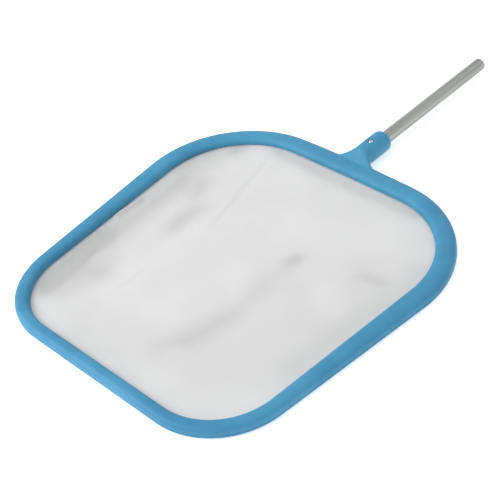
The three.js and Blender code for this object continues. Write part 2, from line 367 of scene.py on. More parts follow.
def srgb(r, g, b):
    """A colour given in 0 to 255 as a linear one."""
    channels = [(c / 255 / 12.92) if c <= 10 else ((c / 255 + 0.055) / 1.055) ** 2.4 for c in (r, g, b)]
    return (*channels, 1.0)


def blue_plastic():
    """Injection-moulded polypropylene: satin, with faint flow marks, fine grain, hairline scratches
    and edges rubbed a little paler."""
    n = Nodes("blue_plastic")
    flow = n.noise(11, 6, 0.6)
    colour = n.blend(n.ramp(flow, 0.36, 0.64), srgb(52, 128, 167), srgb(64, 142, 179))
    speckle = n.ramp(n.noise(420, 3, 0.7), 0.62, 0.8, 0.0, 0.22)
    colour = n.blend(speckle, colour, srgb(90, 156, 190))
    pointed = n.add("NewGeometry").outputs["Pointiness"]
    patchy = n.ramp(n.noise(75, 5, 0.7), 0.4, 0.7, 0.1, 0.5)
    rubbed = n.maths("MULTIPLY", n.ramp(pointed, 0.505, 0.56), patchy)
    colour = n.blend(rubbed, colour, srgb(110, 172, 200))
    cells = {"Vector": n.scaled((34, 210, 60), (0, 0, 0.6)), "Scale": 1.0, "Randomness": 1.0}
    scratches = n.add("TexVoronoi", cells, feature="DISTANCE_TO_EDGE").outputs["Distance"]
    fine = n.maths("MULTIPLY", n.ramp(scratches, 0.0, 0.02, 1.0, 0.0), n.ramp(n.noise(16, 4), 0.52, 0.66))
    rough = n.maths("ADD", n.ramp(n.noise(70, 4), 0.3, 0.7, 0.46, 0.6), n.maths("MULTIPLY", fine, 0.12))
    grain = n.bump(n.noise(1300, 3, 0.6), 0.16, 0.0002)
    n.set(
        base_color=colour,
        roughness=rough,
        normal=n.bump(fine, 0.2, 0.0001, grain),
        specular_ior_level=0.38,
        subsurface_weight=0.05,
        subsurface_radius=(0.001, 0.002, 0.003),
    )
    return n.material


WEAVE_PITCH = 1.1  # from thread to thread of the net


def net_fabric():
    """Plain-woven polyester mesh: threads over and under each other round small open squares, with
    painted shade where a thread dips under another and painted shade from per-point streaks.
    """
    n = Nodes("net_fabric")
    wander = n.add("TexNoise", {"Vector": n.coords, "Scale": 45.0, "Detail": 2.0}).outputs["Color"]
    shift = n.add("VectorMath", {0: wander, 1: (0.0016, 0.0016, 0.0)}, operation="MULTIPLY").outputs[0]
    place = n.add("VectorMath", {0: n.coords, 1: shift}, operation="ADD").outputs[0]
    axes = n.add("SeparateXYZ", {"Vector": place}).outputs
    turn = math.pi / (WEAVE_PITCH * MM)
    wave_x = n.maths("SINE", n.maths("MULTIPLY", axes["X"], turn))
    wave_y = n.maths("SINE", n.maths("MULTIPLY", axes["Y"], turn))
    round_x = n.maths("ABSOLUTE", wave_x)
    round_y = n.maths("ABSOLUTE", wave_y)
    cover = n.maths("MAXIMUM", n.ramp(round_x, 0.5, 0.62), n.ramp(round_y, 0.5, 0.62))
    over = n.ramp(n.maths("MULTIPLY", wave_x, wave_y), -1.0, 1.0, 0.55, 1.0)
    under = n.maths("SUBTRACT", 1.55, over)
    height = n.maths("MAXIMUM", n.maths("MULTIPLY", round_x, over), n.maths("MULTIPLY", round_y, under))
    broad = n.noise(15, 5, 0.55)
    colour = n.blend(n.ramp(broad, 0.36, 0.64), srgb(210, 210, 210), srgb(215, 215, 215))
    # Painted shade: the cloth is mixed towards dark grey by per-point streaks of the rim's shadow and of
    # shade in the folds' dips and by the rim.
    painted_shade = n.add("Attribute", attribute_name="painted_shade").outputs["Fac"]
    colour = n.blend(painted_shade, colour, srgb(172, 172, 171))
    thread = n.noise(1, 2, 0.5, n.scaled((900, 60, 1)))
    colour = n.blend(n.ramp(thread, 0.55, 0.75, 0.0, 0.3), colour, srgb(186, 186, 184))
    n.set(
        # Painted shade: the threads turn darker grey where they dip under the crossing threads.
        base_color=n.blend(n.ramp(height, 0.5, 0.9, 0.35, 0.0), colour, srgb(150, 151, 152)),
        roughness=n.ramp(broad, 0.3, 0.7, 0.66, 0.8),
        normal=n.bump(height, 0.5, 0.0002),
        alpha=cover,
    )
    return n.material


def cord_fabric():
    """Twisted polyester, with fibres along each strand."""
    n = Nodes("cord_fabric")
    fibre = n.noise(900, 4, 0.7)
    n.set(
        base_color=n.blend(n.ramp(fibre, 0.3, 0.7), srgb(200, 201, 199), srgb(222, 222, 220)),
        roughness=n.ramp(fibre, 0.3, 0.7, 0.8, 0.95),
        normal=n.bump(fibre, 0.4, 0.0002),
    )
    return n.material


def tube_aluminium():
    """Drawn aluminium with a satin skin, brushed along its length, and a few handling marks."""
    n = Nodes("tube_aluminium")
    brushing = n.noise(1, 5, 0.65, n.scaled((1100, 9, 1100)))
    bands = n.noise(1, 2, 0.5, n.scaled((160, 3, 160)))
    colour = n.blend(n.ramp(brushing, 0.3, 0.7), srgb(138, 141, 138), srgb(176, 179, 176))
    colour = n.blend(n.ramp(bands, 0.45, 0.7, 0.0, 0.45), colour, srgb(196, 198, 196))
    marks = n.ramp(n.noise(55, 6, 0.75), 0.6, 0.72)
    rough = n.maths("ADD", n.ramp(brushing, 0.3, 0.7, 0.3, 0.44), n.maths("MULTIPLY", marks, 0.1))
    n.set(
        base_color=n.blend(n.maths("MULTIPLY", marks, 0.25), colour, srgb(150, 152, 151)),
        metallic=1.0,
        roughness=rough,
        normal=n.bump(brushing, 0.3, 0.0001),
    )
    return n.material


def bright_steel(name, low, high):
    """Steel with a fine grain, whose roughness lies between low and high."""
    n = Nodes(name)
    grain = n.noise(700, 3)
    n.set(
        base_color=n.blend(grain, srgb(196, 199, 203), srgb(222, 224, 226)),
        metallic=1.0,
        roughness=n.ramp(grain, 0.3, 0.7, low, high),
    )
    return n.material


# ---- upper frame: rim, neck and socket in one moulding ----

RIM_COUNTS = (22, 26, 44, 36, 44)  # stations on each stretch, front to rear
NECK_COLUMNS = 14  # stations on each side of the middle that the neck takes
NECK_HALF_LOW = 20  # half its width where it leaves the rim, and at its top
NECK_HALF_HIGH = 31
SECTION_POWER = 2.6
TOP_STEPS = 26  # rows over the top of the section
NECK_ROW_LOW = 1  # rows where the neck starts and ends, counted from the
NECK_ROW_HIGH = 11  # parting line up the outer side
NECK_END = RIM_OUTER.rear + 16  # where the neck has become the round socket
NECK_STEPS = 14
NECK_SMOOTHING = 18
# The neck's corners are softened within these limits; at each, the softening fades over a length.
SOFT_HALF = 58
SOFT_HALF_FADE = 14
SOFT_START = RIM_OUTER.rear - 10
SOFT_START_FADE = 6
SOFT_END = NECK_END + 9
SOFT_END_FADE = 9
SOFT_RISE = 0.6  # how far above the parting line it starts
SOFT_RISE_FADE = 1.5
GROOVE_MARGIN = 0.1  # kept as it is above the cord's groove, and round the bore
BORE_MARGIN = 1
NECK_UNDERCUT = 6  # how much sooner the socket is round underneath
NECK_REACH = 15  # how far the socket's direction carries back into the neck
# The neck's directions where it leaves the rim, as (inward, rearward, up): in the middle and at the
# corners of the opening's upper and lower sides, and at the ends of its right and left sides.
HIGH_MIDDLE, HIGH_CORNER = (0, 11, -1), (18, 2, -1)
LOW_MIDDLE, LOW_CORNER = (0, 5, -5), (10, 3, -1)
SIDE_LOW, SIDE_HIGH = (10, 1, -2), (18, 2, -1)
# Where the opening's right corners end up on the socket, in degrees above the horizontal.
SOCKET_HIGH_ANGLE = 32
SOCKET_LOW_ANGLE = -48
SOCKET_STEPS = 18
SOCKET_ROUND = (6.0, 3.8)  # the mouth's rounded edge, along and across
SOCKET_ROUND_STEPS = 6
BORE_EDGE = 0.6  # the small round between the mouth and the bore
BORE_LEAD = 12  # a row of vertices this far inside the mouth
BORE_END = TUBE_LOW.y - 0.3  # the closed end, just past the tube's
BORE_END_ROUND = 0.2
DIMPLE_RADIUS = 7.5  # the finger dimples round the buttons
DIMPLE_DEPTH = 2.2
BUTTON_HOLE_GAP = 0.35  # round a button in the socket's wall
PILOT_CLEARANCE = 0.3  # past the screws' tips, and half as much round them


def superellipse(t, power):
    """A point on the upper half of a unit superellipse, from (1, 0) at 0 to (-1, 0) at 1."""
    c, s = math.cos(math.pi * t), math.sin(math.pi * t)
    return math.copysign(abs(c) ** (2 / power), c), abs(s) ** (2 / power)


def upper_section(width):
    """The closed section as (distance from the outer outline, height): up the outer side, over the
    top, down the inner side, and back along the underside with its cord groove."""
    half = width / 2
    rise = RIM_TOP - FRAME_BOTTOM - EDGE_ROUND
    base = FRAME_BOTTOM + EDGE_ROUND
    rows = []
    for i in range(TOP_STEPS + 1):
        x, up = superellipse(i / TOP_STEPS, SECTION_POWER)
        rows.append((half - half * x, base + rise * up))
    corner = EDGE_ROUND * (1 - math.sqrt(0.5))
    rows += [(width - corner, FRAME_BOTTOM + corner), (width - EDGE_ROUND, FRAME_BOTTOM)]
    near, far = CORD_INSET + GROOVE_HALF, CORD_INSET - GROOVE_HALF
    rows += [(near, FRAME_BOTTOM), (near, GROOVE_TOP), (far, GROOVE_TOP), (far, FRAME_BOTTOM)]
    rows += [(EDGE_ROUND, FRAME_BOTTOM), (corner, FRAME_BOTTOM + corner)]
    return rows


def neck_station(u, row):
    """Stations near the rear's middle drift together towards the top, where the neck is narrower."""
    if u <= REAR_ARC_END:
        return u
    edge = NECK_COLUMNS / RIM_COUNTS[REAR_ARC_END]
    reach = half_outline(RIM_OUTER, REAR_ARC_END).x
    climb = smooth((row - NECK_ROW_LOW) / (NECK_ROW_HIGH - NECK_ROW_LOW))
    half = mix(NECK_HALF_LOW, NECK_HALF_HIGH, climb) / reach
    q = REAR_MIDDLE - u
    q = half * q / edge if q < edge else mix(half, 1, (q - edge) / (1 - edge))
    return REAR_MIDDLE - q


def hermite(p0, t0, p1, t1, t):
    """The point at t on the cubic from p0 to p1 that starts along t0 and ends along t1."""
    a, b = t * t * t, t * t
    return p0 * (2 * a - 3 * b + 1) + t0 * (a - 2 * b + t) + p1 * (3 * b - 2 * a) + t1 * (a - b)


def upper_frame(material):
    """The rim with its rear opened between two stations, and the neck and socket grown out of that."""
    stations = station_list(RIM_COUNTS)
    rows = len(upper_section(SAMPLE_WIDTH))
    points = []
    for u, side in stations:
        for row in range(rows):
            outer, inner = rim_points(neck_station(u, row), side)
            away, height = upper_section((inner - outer).length)[row]
            points.append(Vector((*across(outer, inner, away), height)))
    rear = len(stations) // 2
    first, last = rear - NECK_COLUMNS, rear + NECK_COLUMNS
    opening = {(k, row) for k in range(first, last) for row in range(NECK_ROW_LOW, NECK_ROW_HIGH)}
    faces = swept_faces(len(stations), rows, opening)
    neck_and_socket(points, faces, rows, first, last)
    obj = piece("frame_moulding", points, faces, material)
    soften_neck(obj)
    apply_modifier(obj, "SUBSURF", levels=1, render_levels=1)
    press_dimples(obj)
    cut(obj, [button_cutter(BUTTON_RADIUS + BUTTON_HOLE_GAP), pilot_holes()])
    return shade_by_angle(obj, degrees=40)


def swept_faces(count, rows, opening=()):
    """Faces of a closed section of rows points, repeated at count stations round the rim. The
    opening's (station, row) pairs are left out."""
    faces = []
    for k in range(count):
        here, following = k * rows, (k + 1) % count * rows
        for row in range(rows):
            above = (row + 1) % rows
            if (k, row) not in opening:
                faces.append((here + row, following + row, following + above, here + above))
    return faces


def pilot_holes():
    """The holes for the ring's screws, as one mesh to cut with."""
    top = SCREW_TOP + PILOT_CLEARANCE
    radius = SHANK_RADIUS + THREAD_DEPTH + PILOT_CLEARANCE / 2
    return screw_cutters(cylinder(radius, 0, top), steps=24)


def soften_neck(obj):
    """Softens the corners where the neck leaves the rim and where it meets the socket. The cord's
    groove and the bore keep their shape."""
    group = obj.vertex_groups.new(name="neck")
    for vertex in obj.data.vertices:
        x, y, z = vertex.co / MM - Vector((0, FRONT_Y / MM, 0))
        weight = smooth((SOFT_HALF - abs(x)) / SOFT_HALF_FADE)
        weight *= smooth((y - SOFT_START) / SOFT_START_FADE) * smooth((SOFT_END - y) / SOFT_END_FADE)
        weight *= smooth((z - FRAME_BOTTOM - SOFT_RISE) / SOFT_RISE_FADE)
        in_groove = y < RIM_OUTER.rear and z < GROOVE_TOP + GROOVE_MARGIN
        in_bore = math.hypot(x, z - AXIS_HEIGHT) < BORE_RADIUS + BORE_MARGIN
        if weight > 0 and not in_groove and not in_bore:
            group.add([vertex.index], weight, "REPLACE")
    apply_modifier(obj, "SMOOTH", factor=0.5, iterations=NECK_SMOOTHING, vertex_group="neck")
    obj.vertex_groups.clear()


def press_dimples(obj):
    """Sinks a shallow finger dimple into the socket's outside over and under the buttons."""
    for vertex in obj.data.vertices:
        x, y, z = vertex.co / MM - Vector((0, FRONT_Y / MM, AXIS_HEIGHT))
        near = math.hypot(x, y - BUTTON_Y) / DIMPLE_RADIUS
        outside = math.hypot(x, z) > (BORE_RADIUS + SOCKET_RADIUS) / 2
        if near < 1 and outside:
            vertex.co.z -= math.copysign(DIMPLE_DEPTH * (1 - near ** 2) ** 2, z) * MM
    obj.data.update()


def neck_loop(first, last):
    """The (station, row) pairs round the opening in the rim, from its upper right corner."""
    columns = range(first, last + 1)
    band = range(NECK_ROW_LOW, NECK_ROW_HIGH + 1)
    loop = [(k, NECK_ROW_HIGH) for k in columns]
    loop += [(last, row) for row in reversed(band[:-1])]
    loop += [(k, NECK_ROW_LOW) for k in reversed(columns[:-1])]
    loop += [(first, row) for row in band[1:-1]]
    return loop


def mixed(start, end, t):
    return [mix(a, b, t) for a, b in zip(start, end)]


def neck_start(k, row, first, last):
    """The neck's direction where it leaves the rim at a point of the loop, and the angle at which
    it meets the socket's circle."""
    x = (k - first) / (last - first)
    z = (row - NECK_ROW_LOW) / (NECK_ROW_HIGH - NECK_ROW_LOW)
    corner = abs(2 * x - 1) ** 3
    if row == NECK_ROW_HIGH:
        inward, rearward, up = mixed(HIGH_MIDDLE, HIGH_CORNER, corner)
        angle = mix(SOCKET_HIGH_ANGLE, 180 - SOCKET_HIGH_ANGLE, x)
    elif row == NECK_ROW_LOW:
        inward, rearward, up = mixed(LOW_MIDDLE, LOW_CORNER, corner)
        angle = mix(SOCKET_LOW_ANGLE, -180 - SOCKET_LOW_ANGLE, x)
    else:
        inward, rearward, up = mixed(SIDE_LOW, SIDE_HIGH, z)
        up = SIDE_HIGH[2] * z ** 3 + SIDE_LOW[2] * (1 - z) ** 3
        angle = mix(SOCKET_LOW_ANGLE, SOCKET_HIGH_ANGLE, z)
        angle = angle if k == first else 180 - angle
    sideways = -inward if 2 * k < first + last else inward
    return Vector((sideways, rearward, up)), math.radians(angle)


def neck_and_socket(points, faces, rows, first, last):
    """Fills the opening left in the rim's rear side with the neck, the socket and its bore."""
    loop = neck_loop(first, last)
    count = len(loop)
    headings, ends = zip(*(neck_start(k, row, first, last) for k, row in loop))
    rings = [[k * rows + row for k, row in loop]]
    starts = [points[index].copy() for index in rings[0]]

    def add_ring(make):
        rings.append(list(range(len(points), len(points) + count)))
        for i in range(count):
            points.append(make(i))

    def on_socket(i, radius, y):
        return Vector((radius * math.cos(ends[i]), y, AXIS_HEIGHT + radius * math.sin(ends[i])))

    def neck_end(i):
        return NECK_END - NECK_UNDERCUT * max(0, -math.sin(ends[i]))

    def on_neck(i, t):
        end = on_socket(i, SOCKET_RADIUS, neck_end(i))
        return hermite(starts[i], headings[i], end, Vector((0, NECK_REACH, 0)), t)

    for step in range(1, NECK_STEPS + 1):
        add_ring(lambda i: on_neck(i, step / NECK_STEPS))
    along, inwards = SOCKET_ROUND
    straight = SOCKET_MOUTH - along
    for t in np.linspace(0, 1, SOCKET_STEPS + 1)[1:]:
        add_ring(lambda i: on_socket(i, SOCKET_RADIUS, mix(neck_end(i), straight, t)))
    turn = quarter_turn(SOCKET_ROUND_STEPS)
    mouth = [(SOCKET_RADIUS - inwards * (1 - c), straight + along * s) for c, s in turn]
    for radius, y in mouth + socket_bore():
        add_ring(lambda i: on_socket(i, radius, y))
    centre = len(points)
    points.append(Vector((0, BORE_END, AXIS_HEIGHT)))
    for ring, beyond in zip(rings, rings[1:]):
        for i in range(count):
            j = (i + 1) % count
            faces.append((ring[j], ring[i], beyond[i], beyond[j]))
    for i in range(count):
        faces.append((rings[-1][(i + 1) % count], rings[-1][i], centre))


def socket_bore():
    """Rings (radius, y) from the mouth's inner edge to the bore's closed end."""
    edge = BORE_EDGE / 4
    return [
        (BORE_RADIUS + BORE_EDGE, SOCKET_MOUTH),
        (BORE_RADIUS + edge, SOCKET_MOUTH - edge),
        (BORE_RADIUS, SOCKET_MOUTH - BORE_EDGE),
        (BORE_RADIUS, SOCKET_MOUTH - BORE_LEAD),
        (BORE_RADIUS, BUTTON_Y),
        (BORE_RADIUS, BORE_END + BORE_END_ROUND),
        (BORE_RADIUS - BORE_END_ROUND, BORE_END),
        (BORE_RADIUS / 2, BORE_END),
    ]


# ---- clamping ring ----

RING_COUNTS = (20, 26, 40, 36, 30)
SEAT_DROP = 0.45  # the net rests on the ring this far under its middle
RING_SEAT = NET_LEVEL - SEAT_DROP
SEAT_ROUND = 0.6  # the seat's rounded inner edge
LIP_GAP = 0.1  # between the lip and the frame's groove side
LIP_EDGE = 0.2
BOTTOM_POWER = 3.0
BOTTOM_STEPS = 20
HOLE_RADIUS = 1.6
HOLE_LOW, HOLE_TOP = -1, 8  # the cutters' ends, below and above the ring
COUNTERBORE = ((2.9, HOLE_LOW), (2.6, 0.6), (2.6, 2.4))  # (radius, height), upwards


def ring_section(width):
    """The closed section as (distance from the outer outline, height): across the top, with the lip
    outside and the net's seat inside, then round the underside."""
    half = width / 2
    lip = LIP_WIDTH - LIP_GAP
    edge = SEAT_ROUND / 4
    rows = [(EDGE_ROUND, RING_TOP), (lip - LIP_EDGE, RING_TOP), (lip, RING_TOP - LIP_EDGE)]
    rows += [(lip, RING_SEAT + LIP_GAP), (lip + LIP_GAP, RING_SEAT)]
    rows += [(width - SEAT_ROUND, RING_SEAT), (width - edge, RING_SEAT - edge)]
    inner_side, outer_side = RING_SEAT - SEAT_ROUND, RING_TOP - EDGE_ROUND
    for i in range(BOTTOM_STEPS + 1):
        x, down = superellipse(i / BOTTOM_STEPS, BOTTOM_POWER)
        side = mix(inner_side, outer_side, i / BOTTOM_STEPS)
        rows.append((half + half * x, side * (1 - down)))
    corner = EDGE_ROUND * (1 - math.sqrt(0.5))
    return rows + [(corner, RING_TOP - corner)]


def clamping_ring(material):
    """The rim's lower shell, with a counterbored hole for each screw."""
    stations = station_list(RING_COUNTS)
    points = []
    for u, side in stations:
        outer, inner = rim_points(u, side)
        for away, height in ring_section((inner - outer).length):
            points.append((*across(outer, inner, away), height))
    faces = swept_faces(len(stations), len(ring_section(SAMPLE_WIDTH)))
    obj = piece("clamp_ring", points, faces, material)
    apply_modifier(obj, "SUBSURF", levels=1, render_levels=1)
    holes = screw_cutters(cylinder(HOLE_RADIUS, HOLE_LOW, HOLE_TOP), steps=24)
    head_room = [(0, HOLE_LOW), *COUNTERBORE, (0, COUNTERBORE[-1][1])]
    return shade_by_angle(cut(obj, [holes, screw_cutters(head_room, steps=32)]), degrees=40)


def screw_cutters(profile, steps):
    """A profile turned round every screw's axis, as one mesh of closed bodies to cut with."""
    shape_points, shape_faces = lathe(profile, steps)
    points, faces = [], []
    for x, y in screw_places():
        start = len(points)
        points += [(px + x, py + y, pz) for px, py, pz in shape_points]
        faces += [tuple(start + i for i in face) for face in shape_faces]
    return piece("cutter", points, faces, None)


def screw_places():
    """Where the CAD screws stand, in the order of their names."""
    boxes = [node_box(f"ring_screw_{i:02d}") for i in range(1, SCREW_COUNT + 1)]
    return [((low.x + high.x) / 2, (low.y + high.y) / 2) for low, high in boxes]


# ---- screws ----

HEAD_BASE = 0.5  # height of its crown
HEAD_RADIUS = 2.3
HEAD_CROWN = 0.9
HEAD_EDGE = 0.15
SHOULDER = HEAD_BASE + 1.6
SHANK_RADIUS = 1.3
SCREW_TOP = node_box("ring_screw_01")[1].z
TIP_HEIGHT = 0.5
THREAD_START = 0.1  # above the shoulder
THREAD_END = SCREW_TOP - 1.2
THREAD_PITCH = 1.1
THREAD_DEPTH = 0.18
THREAD_FADE = 0.6
SCREW_SIDES = 36
SCREW_HEAD_STEPS = 8
SCREW_THREAD_ROWS = 60
SCREW_TURN = 2.4  # each stops at its own angle, this much past the last
# The cross recess's arms at their wide and narrow end: height from the head, half length and width.
RECESS_WIDE, RECESS_NARROW = (-1, 1.45, 0.42), (1.05, 0.7, 0.28)


def screw_profile():
    """From the middle of the head's crown, round the head and up the shank to the tip."""
    head, shank, edge = HEAD_RADIUS, SHANK_RADIUS, HEAD_EDGE
    profile = [(0, HEAD_BASE)]
    for c, s in quarter_turn(SCREW_HEAD_STEPS):
        profile.append((head * s, HEAD_BASE + HEAD_CROWN * (1 - c)))
    profile += [(head, SHOULDER - edge), (head - edge, SHOULDER), (shank + THREAD_START, SHOULDER)]
    for i in range(SCREW_THREAD_ROWS + 1):
        profile.append((shank, mix(SHOULDER + THREAD_START, THREAD_END, i / SCREW_THREAD_ROWS)))
    return profile + [(shank / 2, SCREW_TOP - TIP_HEIGHT), (0, SCREW_TOP)]


def cut_thread(x, y, z):
    """Moves a point of the shank in or out, so that a ridge winds round it."""
    radius = math.hypot(x, y)
    if z <= SHOULDER or radius <= SHANK_RADIUS * 0.9:
        return x, y, z
    fade = smooth((z - SHOULDER) / THREAD_FADE)
    fade *= smooth((THREAD_END + THREAD_FADE / 2 - z) / THREAD_FADE)
    crest = 1 - 2 * abs((z / THREAD_PITCH - math.atan2(y, x) / TAU) % 1 - 0.5)
    scale = (SHANK_RADIUS + THREAD_DEPTH * (2 * crest ** 2 * fade - 1)) / radius
    return x * scale, y * scale, z


def screw(name, x, y, turn, material):
    """A pan-head screw on its head, with a cross recess below and a rolled thread above."""
    points, faces = lathe(screw_profile(), SCREW_SIDES)
    threaded = [cut_thread(*point) for point in points]
    place = Matrix.Translation((x, y, 0)) @ Matrix.Rotation(turn, 4, "Z")
    obj = piece(name, moved(threaded, place), faces, material)
    head = Matrix.Translation((x, y, HEAD_BASE))
    arms = [tapered_bar(head @ Matrix.Rotation(turn + a, 4, "Z")) for a in (0, math.pi / 2)]
    return shade_by_angle(cut(obj, arms), degrees=35)


def tapered_bar(place):
    """One arm of the cross recess: a bar that narrows upwards."""
    points = []
    for z, half_length, half_width in (RECESS_WIDE, RECESS_NARROW):
        for x, y in ((-1, -1), (1, -1), (1, 1), (-1, 1)):
            points.append((x * half_length, y * half_width, z))
    faces = [(3, 2, 1, 0), (4, 5, 6, 7), (0, 1, 5, 4), (1, 2, 6, 5), (2, 3, 7, 6), (3, 0, 4, 7)]
    return piece("cutter", moved(points, place), faces, None)


# ---- net ----

NET_ROWS = (0, 46, 110, 66)  # rows on the front arc, the sides and the rear arc
NET_COLUMNS = 220
OUTLINE_STEPS = 400  # to measure the flat sheet with

# The net comes free of the rim this far from its edge, and hangs in a shallow hollow.
NET_FREE = 13
NET_FREE_FADE = 22
PUCKERS_FREE = 14
PUCKERS_FADE = 3
HOLLOW_DEPTH = 1.488
HOLLOW_HALF = (190, 200)  # half its length across and along
HOLLOW_MIDDLE = 207
HOLLOW_FLARE = 1.1
RIPPLES = ((0.4, 60, 45, 3.1), (0.15, 21, 17, 8.4))  # height, lengths, slice of the noise
FOLD_LIMITS = (-1.0, 1.3)
STREAK_WAVE = 0.2  # how much a streak wavers, as a share of its width
STREAK_TURN = 3.1

# Folds left in the cloth: start, end, half width and height, in millimetres. Below zero is a dip.
FOLDS = (
    ((34, 240), (58, 262), 14, -0.9),
    ((24, 66), (50, 166), 16, -1.0),
    ((-10, 90), (0, 240), 34, 0.8),
    ((-98, 196), (-110, 252), 12, -0.9),
    ((-112, 256), (-138, 300), 9, -0.5),
    ((-73, 247), (-106, 368), 4.2, 0.5),
    ((-67, 247), (-100, 368), 4.2, -0.4),
    ((-82, 100), (-80, 150), 4, 0.45),
    ((-76, 100), (-74, 150), 4, -0.35),
    ((-140, 90), (-96, 128), 14, -1.0),
    ((-166, 306), (-162, 250), 7, 1.1),
    ((-160, 232), (-158, 196), 5, 0.8),
    ((-152, 150), (-146, 110), 6, -0.9),
    ((118, 276), (160, 284), 10, -0.8),
)

# Puckers that stand up right beside the rim, given in the same way.
PUCKERS = (
    ((-174.5, 226), (-176.5, 184), 3.0, 3.4),
    ((-172.5, 168), (-173.5, 150), 2.8, 2.0),
)

# Painted shade on the cloth, given in the same way: the rim's shadow along its inner edge, shade in the
# folds' dips and by the rim, and a broad grey over the right side. 1 is the darkest painted shade, and
# below zero takes painted shade away.
PAINTED_SHADE_STREAKS = (
    ((46, 262), (54, 248), 11, 0.8),
    ((50, 220), (50, 156), 14, 0.27),
    ((52, 160), (46, 88), 15, 0.42),
    ((40, 100), (24, 64), 12, 0.25),
    ((-100, 204), (-107, 262), 13, 0.5),
    ((-118, 264), (-140, 302), 12, 0.4),
    ((-130, 98), (-116, 122), 14, 0.3),
    ((-125, 145), (-120, 50), 16, 0.3),
    ((-152, 352), (-142, 376), 12, 0.7),
    ((-160, 300), (-152, 55), 22, 0.7),
    ((-160, 165), (-146, 45), 13, 0.8),
    ((122, 277), (158, 285), 8, 0.4),
    ((178, 330), (162, 120), 18, 0.33),
    ((120, 300), (105, 60), 65, 0.22),
    ((96, 232), (150, 226), 22, -0.2),
    ((-156, 342), (-152, 304), 14, 0.28),
    ((-174, 358), (-182, 290), 18, 0.7),
    ((50, 242), (52, 226), 12, 0.25),
    ((-90, 55), (60, 55), 45, 0.18),
    ((-110, 388), (120, 388), 10, 0.55),
)


def streaks(x, y, shapes):
    """The sum at a point of soft-edged streaks, each (start, end, half width, height)."""
    total = 0
    for (ax, ay), (bx, by), width, height in shapes:
        along = Vector((bx - ax, by - ay))
        reach = along.length
        along.normalize()
        away = Vector((x - ax, y - ay))
        s = away.dot(along) / reach
        beside = away.cross(along) + STREAK_WAVE * width * math.sin(s * STREAK_TURN + ax)
        end = width / reach
        fade = smooth((s + end) / (2 * end)) * smooth((1 + end - s) / (2 * end))
        total += height * fade * math.exp(-(beside / width) ** 2)
    return total


def net_height(x, y, edge_distance):
    """The net's middle surface: level under the rim, and slack with folds and ripples inside it."""
    free = smooth((edge_distance - NET_FREE) / NET_FREE_FADE)
    clear_of_rim = smooth((edge_distance - PUCKERS_FREE) / PUCKERS_FADE)
    ripple = sum(h * noise.noise(Vector((x / a, y / b, c))) for h, a, b, c in RIPPLES)
    half_x, half_y = HOLLOW_HALF
    hollow = 1 - ((x / half_x) ** 2 + ((y - HOLLOW_MIDDLE) / half_y) ** 2) / HOLLOW_FLARE
    dip = -HOLLOW_DEPTH * max(0, hollow)
    lowest, highest = FOLD_LIMITS
    folds = min(max(streaks(x, y, FOLDS) + ripple, lowest), highest)
    return NET_LEVEL + free * (dip + folds) + clear_of_rim * streaks(x, y, PUCKERS)


def net(material):
    """The woven sheet, its flat size and its flat area, both in metres."""
    edge = inset(RIM_OUTER, NET_INSET)
    stations = [k + i / n for k, n in enumerate(NET_ROWS) if n for i in range(n)] + [REAR_ARC_END]
    points = []
    for u in stations:
        half, y = unbowed(edge, u)
        for column in range(NET_COLUMNS + 1):
            x = half * (2 * column / NET_COLUMNS - 1)
            spot = bowed(edge, x, y)
            points.append((*spot, net_height(*spot, distance_to_edge(edge, x, y))))
    faces = []
    wide = NET_COLUMNS + 1
    for row in range(len(stations) - 1):
        for column in range(NET_COLUMNS):
            a = row * wide + column
            faces.append((a, a + 1, a + wide + 1, a + wide))
    obj = piece("net_sheet", points, faces, material)
    # Painted shade for each point, from the rim's shadow and the folds' dips, read by the net's material.
    painted_shade_layer = obj.data.attributes.new("painted_shade", "FLOAT", "POINT")
    painted_shade_layer.data.foreach_set("value", [streaks(x, y, PAINTED_SHADE_STREAKS) for x, y, _ in points])
    outline = [half_outline(edge, u) for u in np.linspace(0, REAR_MIDDLE, OUTLINE_STEPS)]
    area = sum(a.x * b.y - b.x * a.y for a, b in zip(outline, outline[1:]))
    width = 2 * max(p.x for p in outline)
    length = outline[-1].y - outline[0].y
    return obj, (width * MM, length * MM), area * MM * MM


def distance_to_edge(o, x, y):
    """How far a point lies inside a trapezoid with round corners."""
    x = abs(x)
    lean = math.atan2(o.rear_half - o.front_half, o.rear - o.front)
    side = ((o.front_half - x) + math.tan(lean) * (y - o.front)) * math.cos(lean)
    best = min(side, y - o.front, o.rear - y)
    for u, radius in ((FRONT_ARC, o.front_radius), (REAR_ARC_END, o.rear_radius)):
        cx, cy = unbowed(o, u)
        cy += radius if u == FRONT_ARC else -radius
        beyond = y < cy if u == FRONT_ARC else y > cy
        if x > cx and beyond:
            best = min(best, radius - math.hypot(x - cx, y - cy))
    return best


# ---- edge cord ----

CORD_COUNTS = (70, 110, 150, 140, 90)
CORD_SIDES = 15
CORD_STRANDS = 3
CORD_VALLEY = 0.82  # its radius between two strands, as a share
CORD_TURN = 10  # length of one turn of its strands
CORD_LOW, CORD_HIGH = node_box("net_edge_cord")
CORD_LEVEL = (CORD_LOW.z + CORD_HIGH.z) / 2


def edge_cord(material):
    """A cord of three twisted strands, laid round in the groove above the net."""
    stations = station_list(CORD_COUNTS)
    centres = [across(*rim_points(u, side), CORD_INSET) for u, side in stations]
    lengths = [0]
    for a, b in zip(centres, centres[1:] + centres[:1]):
        lengths.append(lengths[-1] + (b - a).length)
    turns = round(lengths[-1] / CORD_TURN)
    points = []
    for k, (u, side) in enumerate(stations):
        outer, inner = rim_points(u, side)
        twist = TAU * turns * lengths[k] / lengths[-1]
        for i in range(CORD_SIDES):
            angle = TAU * i / CORD_SIDES
            crown = abs(math.cos(CORD_STRANDS / 2 * (angle - twist)))
            radius = CORD_RADIUS * mix(CORD_VALLEY, 1, crown)
            spot = across(outer, inner, CORD_INSET - radius * math.cos(angle))
            points.append((*spot, CORD_LEVEL + radius * math.sin(angle)))
    return piece("bead_cord", points, swept_faces(len(stations), CORD_SIDES), material)


# ---- tube, clip and buttons ----

